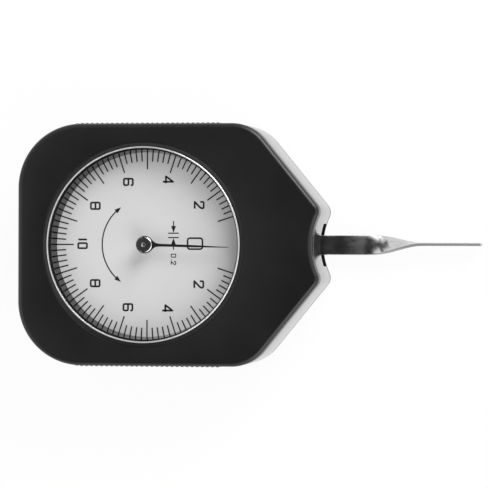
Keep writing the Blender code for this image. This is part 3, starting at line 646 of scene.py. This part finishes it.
ink_height = 0.012 * mm
ink_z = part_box("dial_plate")[1].z
tick_width = 0.36 * mm
tick_outer = 25.2 * mm
long_tick_inner = 20.0 * mm
short_tick_inner = 22.1 * mm
parts_per_unit = 5
top_unit = 10
unit_angle = radians(18)
digit_line = 0.49 * mm
digit_size = (1.71 * mm, 2.42 * mm)
ten_size = (1.36 * mm, 2.36 * mm)
ten_shift = 0.82 * mm
number_places = (("2", 14.0, 10.5), ("2", 13.95, -10.5), ("4", 5.7, 17.2), ("4", 5.62, -16.95),
                 ("6", -5.15, 16.65), ("6", -5.18, -16.65), ("8", -14.1, 10.3), ("8", -14.1, -10.3))
ten_place = (-17.55 * mm, 0.1 * mm)
zero_place = (12.9 * mm, 0.3 * mm)
zero_size = (2.9 * mm, 4.0 * mm)
zero_line = 0.45 * mm
part_x = 7.1 * mm
part_lines_y = (3.05 * mm, 1.9 * mm)
part_line_half = 1.45 * mm
part_line_width = 0.30 * mm
arrow_shaft = 0.29 * mm
arrow_head_width = 1.3 * mm
arrow_head_length = 1.75 * mm
arrow_length = 3.1 * mm
part_text_size = (0.8 * mm, 1.2 * mm)
part_text_line = 0.25 * mm
part_text_y = (-2.9 * mm, -4.0 * mm, -4.85 * mm)
hub_arc_radius = 12.2 * mm
hub_arc_ends = (radians(134), radians(226))
hub_arc_width = 0.34 * mm
digit_shares = {
    "0": (True, [(0, 0, 0.25), (1, 0, 0.25), (1, 1, 0.25), (0, 1, 0.25)]),
    "1": (False, [(0.5, 0, 0), (0.5, 1, 0)]),
    "2": (False, [(0, 0.62, 0), (0, 1, 0.2), (1, 1, 0.3), (1, 0.7, 0.3), (0, 0, 0.02), (1.04, 0, 0)]),
    "4": (False, [(0.8, -0.13, 0), (0.8, 1.02, 0.05), (-0.05, 0.22, 0.05), (1.02, 0.22, 0)]),
    "6": (False, [(1, 0.76, 0), (1, 1, 0.22), (0, 1, 0.22), (0, 0, 0.22), (1, 0, 0.22), (1, 0.51, 0.22),
                  (0, 0.51, 0)]),
    "8": (True, [(0, 0, 0.22), (1, 0, 0.22), (1, 1, 0.22), (0, 1, 0.22)]),
    "bar": (False, [(0, 0.51, 0), (1, 0.51, 0)]),
}
strokes = []


def rounded_path(corners, rounding, closed):
    """Points through the corners. A parabola that starts and ends at its rounding's distance takes
    the place of each turn."""
    corners = np.array(corners, float)
    if len(corners) < 3:
        return corners
    before, after = np.roll(corners, 1, 0) - corners, np.roll(corners, -1, 0) - corners
    reach = [np.minimum(rounding, np.linalg.norm(way, axis=1) / 2.2) for way in (before, after)]
    entry, leave = (corners + way / np.linalg.norm(way, axis=1)[:, None] * near[:, None]
                    for way, near in zip((before, after), reach))
    share = np.linspace(0, 1, 7)[:, None, None]
    turns = entry * (1 - share) ** 2 + corners * 2 * share * (1 - share) + leave * share ** 2
    path = turns.transpose(1, 0, 2)
    if closed:
        return path.reshape(-1, 2)
    return np.concatenate((corners[:1], path[1:-1].reshape(-1, 2), corners[-1:]))


def ink(path, width, closed=False, height=ink_height):
    """Print a line along a path: at each point its section is square to the mean direction there.
    The width is one value or one for each point."""
    path = np.array(path, float)
    ahead = np.roll(path, -1, 0) - path
    if not closed:
        ahead[-1] = ahead[-2]
    ahead /= np.linalg.norm(ahead, axis=1)[:, None]
    behind = np.roll(ahead, 1, 0)
    if not closed:
        behind[0] = ahead[0]
    normal = np.stack((-ahead[:, 1] - behind[:, 1], ahead[:, 0] + behind[:, 0]), 1)
    normal /= 1 + (ahead * behind).sum(1)[:, None]
    side = normal * (np.ones(len(path)) * width / 2)[:, None]
    low, high = np.full((len(path), 1), ink_z), np.full((len(path), 1), ink_z + height)
    section = [np.hstack((path + side, low)), np.hstack((path + side, high)),
               np.hstack((path - side, high)), np.hstack((path - side, low))]
    strokes.append((np.stack(section, 1), closed))


def print_digit(digit, place, size, line, height=ink_height):
    """Print a digit that reads towards -Y, with its top towards +X. The shares of its size give its
    corners, and the third share of each is its rounding."""
    closed, shares = digit_shares[digit]
    right, up, rounding = np.array(shares, float).T
    corners = np.column_stack((place[0] + (up - 0.5) * size[1], place[1] - (right - 0.5) * size[0]))
    ink(rounded_path(corners, rounding * size[0], closed), line, closed, height)
    if digit == "8":
        print_digit("bar", place, size, line, 0.8 * ink_height)


def print_arrow(tip, way):
    """Print an arrow that points along a direction: a shaft, and a head that narrows to its tip."""
    tip, way = np.array(tip), np.array(way)
    ink([tip - way * arrow_length, tip - way * arrow_head_length], arrow_shaft)
    ink([tip - way * arrow_head_length, tip], np.array((arrow_head_width, 0.02 * mm)))


def printed_ink(place):
    """Matt black ink with slightly thin patches."""
    thin = place.noise(0.2 * mm)
    return {"Base Color": thin.mix(grey(0.006), grey(0.014)), "Roughness": thin * 0.1 + 0.45}


for part in range(parts_per_unit, top_unit * parts_per_unit + 1):
    inner_end = short_tick_inner if part % parts_per_unit else long_tick_inner
    for side in (1, -1) if part < top_unit * parts_per_unit else (1,):
        angle = side * part * unit_angle / parts_per_unit
        ink([(radius * cos(angle), radius * sin(angle)) for radius in (inner_end, tick_outer)], tick_width)
for digit, x, y in number_places:
    print_digit(digit, (x * mm, y * mm), digit_size, digit_line)
print_digit("1", (ten_place[0], ten_place[1] + 1.5 * ten_shift), ten_size, digit_line)
print_digit("0", (ten_place[0], ten_place[1] - 0.5 * ten_shift), ten_size, digit_line)
print_digit("0", zero_place, zero_size, zero_line)
for y, way in zip(part_lines_y, (-1, 1)):
    ink([(part_x - part_line_half, y), (part_x + part_line_half, y)], part_line_width)
    print_arrow((part_x, y - way * part_line_width / 2), (0, way))
print_digit("0", (part_x, part_text_y[0]), part_text_size, part_text_line)
point_x = part_x - part_text_size[1] / 2
ink([(point_x + way * part_text_line / 2, part_text_y[1]) for way in (-1, 1)], part_text_line)
print_digit("2", (part_x, part_text_y[2]), part_text_size, part_text_line)
angle = np.linspace(*hub_arc_ends, 61)
ink(hub_arc_radius * np.stack((np.cos(angle), np.sin(angle)), 1), hub_arc_width)
for end, side in zip(hub_arc_ends, (-1, 1)):
    tip_angle = end + side * arrow_head_length / hub_arc_radius
    ink([(hub_arc_radius * cos(turn), hub_arc_radius * sin(turn)) for turn in (end, tip_angle)],
        np.array((arrow_head_width, 0.02 * mm)))
black_ink = painted("black_ink", {"Specular IOR Level": 0.3}, printed_ink)
add_piece("dial_print", closed_mesh("dial_print", strokes, radians(35)), black_ink, "case")


# Pointer, boss and cap
# Blackened steel pointer, cut from sheet with a disc at its root, on a bright turned boss, which is
# pressed on the arbor. A black cap with two small lugs covers the boss, and its countersink is bare.

pointer_disc = 2.32 * mm
pointer_hole = 0.88 * mm
root_angle = radians(44)
pointer_stations = ((22.5 * mm, 0.07 * mm), (13.0 * mm, 0.31 * mm), (4.4 * mm, 0.36 * mm),
                    (3.5 * mm, 0.42 * mm), (2.95 * mm, 0.54 * mm), (2.5 * mm, 0.78 * mm),
                    (2.1 * mm, 1.14 * mm))
pointer_angle = radians(-1.67)
boss_neck = 0.47 * mm
boss_sleeve = 0.85 * mm
boss_radius = 2.05 * mm
boss_flange = 0.8 * mm
boss_chamfer = (0.34 * mm, 0.2 * mm)
cap_radius = 1.94 * mm
cap_rim = 0.1 * mm
cap_hole_radius = 0.38 * mm
countersink = 0.19 * mm
cap_lug_radius = 0.32 * mm


def spun(profile, centre, columns):
    """Points of a surface of revolution: each radius and height of a profile is carried round a
    centre."""
    angle = np.linspace(0, 2 * pi, columns, endpoint=False)
    radius, height = np.array(profile).T[:, :, None]
    return np.stack((centre[0] + radius * np.cos(angle), centre[1] + radius * np.sin(angle),
                     height * np.ones_like(angle)), -1)


def blackened(place):
    """Satin black lacquer with a fine grain."""
    grain = place.noise(0.12 * mm)
    return {"Base Color": grain.mix(grey(0.006), grey(0.012)),
            "Roughness": grain * 0.1 + 0.42,
            "Normal": grain.bump(0.003 * mm)}


def bright_turning(place):
    """Nickel over a turned face, whose fine rings run round the axis."""
    rings = place.maths("SINE", place.radius() * (2 * pi / (0.06 * mm)))
    haze = place.noise(1.5 * mm)
    return {"Base Color": haze.mix(grey(0.80), grey(0.90)),
            "Roughness": haze * 0.08 + 0.16,
            "Normal": rings.bump(0.0006 * mm)}


def cap_finish(place):
    """Satin black lacquer, cut away in the countersink round the hole."""
    grain = place.noise(0.12 * mm)
    bare = place.radius() < (cap_hole_radius + countersink)
    return {"Base Color": bare.mix(grain.mix(grey(0.018), grey(0.034)), grey(0.6)),
            "Metallic": bare,
            "Roughness": grain * 0.1 + 0.3,
            "Normal": grain.bump(0.003 * mm)}


black_steel = painted("black_steel", {"Specular IOR Level": 0.25}, blackened)
bright_nickel = painted("bright_nickel", {"Metallic": 1.0}, bright_turning)
black_cap = painted("black_cap", {"Specular IOR Level": 0.5}, cap_finish)
round_disc = np.linspace(root_angle, 2 * pi - root_angle, 97)
blade = np.array(pointer_stations)
disc = pointer_disc * np.stack((np.cos(round_disc), np.sin(round_disc)), 1)
outline = np.concatenate((blade, disc, blade[::-1] * (1, -1)))
turn = np.array(((cos(pointer_angle), sin(pointer_angle)), (-sin(pointer_angle), cos(pointer_angle))))
pointer_low, pointer_high = (corner.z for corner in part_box("pointer"))
mesh = plate_round_hole("pointer_hand", outline @ turn, np.zeros(2), pointer_hole, pointer_low, pointer_high)
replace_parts(add_piece("pointer_hand", mesh, black_steel, "pointer"), "pointer")
boss_low, boss_high = (corner.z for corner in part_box("pointer_boss"))
profile = [(boss_neck, boss_low), (boss_sleeve, boss_low), (boss_sleeve, boss_high - boss_flange),
           (boss_radius, boss_high - boss_flange), (boss_radius, boss_high - boss_chamfer[1]),
           (boss_radius - boss_chamfer[0], boss_high), (boss_neck, boss_high)]
mesh = closed_mesh("turned_boss", [(spun(profile, (0, 0), 128), True)], radians(25))
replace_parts(add_piece("turned_boss", mesh, bright_nickel, "pointer"), "pointer_boss")
cap_low, cap_high = (corner.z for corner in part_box("pointer_cap"))
rim_z = cap_high - cap_rim
profile = [(cap_hole_radius, cap_low), (cap_radius, cap_low)]
profile += list(quarter((cap_radius, rim_z), (cap_radius - cap_rim, cap_high), (cap_radius, cap_high), 4))
profile += [(cap_hole_radius + countersink, cap_high), (cap_hole_radius, cap_high - countersink)]
lug = [(cap_lug_radius, cap_low), (cap_lug_radius, rim_z), (cap_lug_radius - cap_rim, cap_high)]
solids = [(spun(profile, (0, 0), 128), True)]
solids += [(spun(lug, (0, side * cap_radius), 32), False) for side in (1, -1)]
mesh = closed_mesh("lugged_cap", solids, radians(25))
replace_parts(add_piece("lugged_cap", mesh, black_cap, "pointer"), "pointer_cap")


# Front cover
# Black moulded front with a rounded edge. Its deep well narrows a little towards the dial and is
# polished inside. Four posts under its corners take the screws that come through the rear cover.

face_z = 25.0 * mm
cover_low = 20.66 * mm
cover_edge_radius = 1.25 * mm
cover_rim = 0.08 * mm
cover_wall = 1.9 * mm
under_face_z = 23.5 * mm
opening_radius = 27.05 * mm
opening_rim = 0.12 * mm
ledge_z = 23.4 * mm
well_radius = 25.1 * mm
well_foot_radius = 24.5 * mm
skirt_low = 19.0 * mm
skirt_radius = 28.4 * mm
post_radius = 2.6 * mm
post_low = 1.86 * mm
pilot_radius = 1.09 * mm
pilot_top = 10.8 * mm
polish_margin = 0.05 * mm


def cover_moulding(place):
    """Sparked outside and polished in the well, which lies inside the opening and under the ledge."""
    inside = place.radius() < (opening_radius - polish_margin)
    outside = 1 - inside * (place.part(2) < (ledge_z + polish_margin))
    grain = place.noise(0.16 * mm, 3.0)
    flow = place.noise(9 * mm)
    return {"Base Color": (grain * 0.6 + flow * 0.4).mix(grey(0.003), grey(0.007)),
            "Roughness": outside * (flow * 0.08 + 0.24) + 0.08,
            "Normal": (grain * outside).bump(0.004 * mm)}


cover_black = painted("cover_black", {"Specular IOR Level": 0.5}, cover_moulding)
edge, facing = (both_halves(half) for half in case_edge(outline_step)[:2])
spoke = edge / np.linalg.norm(edge, axis=1)[:, None]
rows = [(edge - facing * back, z) for back, z in
        quarter((cover_rim, cover_low), (0, cover_low + cover_rim), (0, cover_low), 3)]
rows += [(edge - facing * back, z) for back, z in
         quarter((0, face_z - cover_edge_radius), (cover_edge_radius, face_z), (0, face_z), 14)]
profile = list(quarter((opening_radius + opening_rim, face_z), (opening_radius, face_z - opening_rim),
                       (opening_radius, face_z), 4))
profile += [(opening_radius, ledge_z), (well_radius, ledge_z), (well_foot_radius, skirt_low),
            (skirt_radius, skirt_low), (skirt_radius, under_face_z)]
rows += [(spoke * radius, z) for radius, z in profile]
rows += [(edge - facing * cover_wall, under_face_z), (edge - facing * cover_wall, cover_low)]
shell = np.array([np.column_stack((ring, np.full(len(ring), z))) for ring, z in rows])
mesh = closed_mesh("cover_shell", [(shell, True)], radians(35))
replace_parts(add_piece("cover_shell", mesh, cover_black, "case"), "front_cover")
for number in (1, 2, 3, 4):
    low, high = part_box(f"cover_screw_{number}")
    profile = [(0, under_face_z), (post_radius, under_face_z), (post_radius, post_low),
               (pilot_radius, post_low), (pilot_radius, pilot_top), (0, pilot_top)]
    post = spun(profile, ((low.x + high.x) / 2, (low.y + high.y) / 2), 48)
    mesh = closed_mesh(f"screw_post_{number}", [(post, True)], radians(35))
    piece = add_piece(f"screw_post_{number}", mesh, black_moulding, "case")
    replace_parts(piece, "front_cover")


# Gasket
# Black rubber ring of square section, squeezed between the cover's ledge and the crystal.


def rubber(place):
    """Moulded rubber, dull and slightly dusty."""
    dust = place.noise(0.3 * mm)
    return {"Base Color": dust.mix(grey(0.006), grey(0.012)),
            "Roughness": dust * 0.2 + 0.55,
            "Normal": dust.bump(0.005 * mm)}


gasket_rubber = painted("gasket_rubber", {"Specular IOR Level": 0.25}, rubber)
dress("crystal_gasket", gasket_rubber)


# Crystal
# Clear flat disc, clamped on the gasket by the bezel ring's lip.


def clear_disc(name, plain):
    """Clear material: light goes straight through it, and a share of it is mirrored, which grows
    from a few hundredths towards a grazing view."""
    made = bpy.data.materials.new(name)
    made.use_nodes = True
    tree = made.node_tree
    tree.nodes.remove(tree.nodes["Principled BSDF"])
    through = Shade(tree).node("BsdfTransparent", {}, {"Color": (0.98, 0.98, 0.98, 1)})
    mirror = Shade(tree).node("BsdfGlossy", {}, {"Color": (1, 1, 1, 1), "Roughness": plain})
    share = Shade(tree).node("LayerWeight", {}, {"Blend": 0.5}, "Facing") ** 5 * 0.4 + 0.01
    both = Shade(tree).node("MixShader", {}, {0: share, 1: through, 2: mirror})
    tree.links.new(both.socket, tree.nodes["Material Output"].inputs["Surface"])
    return made


crystal_glass = clear_disc("crystal_glass", 0.02)
dress("crystal", crystal_glass)


# Bezel ring
# Ring pressed into the cover, black apart from a thin crest turned bright. A thin black band at the
# crest's inner edge is painted shade along the lip. Its lip holds the crystal down.

lip_radius = 25.42 * mm
crest_radius = 26.05 * mm
bezel_step_radius = 26.25 * mm
bezel_radius = 26.95 * mm
bezel_high = 25.35 * mm
bezel_lip_low = 24.95 * mm
bezel_flank_z = 24.85 * mm
crest_width = 0.50 * mm
# Width of the black band painted at the crest's inner edge, as shade along the lip.
lip_shade_width = 0.1 * mm
crest_height = 0.2 * mm
bezel_low = 23.5 * mm


def plated(place):
    """Satin black apart from the crest, where the fine rings of the tool show in bright metal. A thin
    band at the crest's inner edge is left black as painted shade along the lip."""
    reach = place.radius()
    # The bright crest starts past the painted shade band at its inner edge.
    crest = (reach < (lip_radius + crest_width)) - (reach < (lip_radius + lip_shade_width))
    rings = place.maths("SINE", reach * (2 * pi / (0.05 * mm)))
    haze = place.noise(2 * mm)
    return {"Base Color": crest.mix(grey(0.010), haze.mix(grey(0.86), grey(0.94))),
            "Metallic": crest,
            "Roughness": haze * 0.06 + 0.36,
            "Normal": rings.bump(0.0006 * mm)}


bezel_finish = painted("bezel_finish", {"Specular IOR Level": 0.4}, plated)
profile = [(lip_radius, bezel_lip_low), (bezel_step_radius, bezel_lip_low), (bezel_step_radius, bezel_low),
           (bezel_radius, bezel_low), (bezel_radius, bezel_flank_z)]
crest_foot = bezel_high - crest_height
crest_outer = lip_radius + crest_width
crest_top = (lip_radius + crest_width / 2, bezel_high)
profile.append((crest_radius, crest_foot))
profile += list(quarter((crest_outer, crest_foot), crest_top, (crest_outer, bezel_high), 6))
profile += list(quarter(crest_top, (lip_radius, crest_foot), (lip_radius, bezel_high), 6))[1:]
mesh = closed_mesh("bezel_band", [(spun(profile, (0, 0), 360), True)], radians(35))
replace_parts(add_piece("bezel_band", mesh, bezel_finish, "case"), "bezel_ring")
